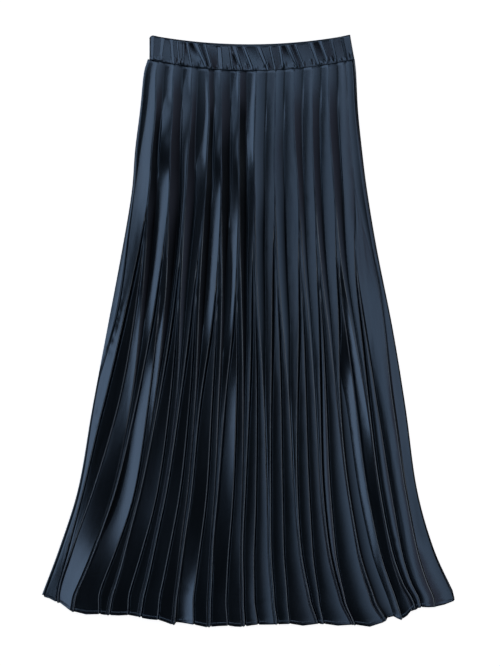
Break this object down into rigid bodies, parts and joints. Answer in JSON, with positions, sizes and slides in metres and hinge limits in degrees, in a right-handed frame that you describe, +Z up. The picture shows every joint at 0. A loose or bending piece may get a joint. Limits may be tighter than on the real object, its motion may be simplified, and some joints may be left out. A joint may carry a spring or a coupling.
{
  "type": "pleated midi skirt",
  "caption": "Long satin skirt laid flat: ray-pleated front and back panels that flare from a gathered elastic waistband to a rippled hem.",
  "frame": {"origin": "middle of the skirt's outline, on the surface that it lies on", "axes": "+Y from hem to waist, +X towards the right side of the front as laid, +Z up out of the front panel"},
  "size_m": [0.6269, 0.8959, 0.0145],
  "materials": {
    "satin": "navy polyester satin, pleated",
    "waistband_satin": "navy polyester satin, gathered on elastic"
  },
  "bodies": {
    "root": {"front_panel": "satin", "back_panel": "satin", "waistband_front": "waistband_satin", "waistband_back": "waistband_satin"}
  },
  "joints": []
}
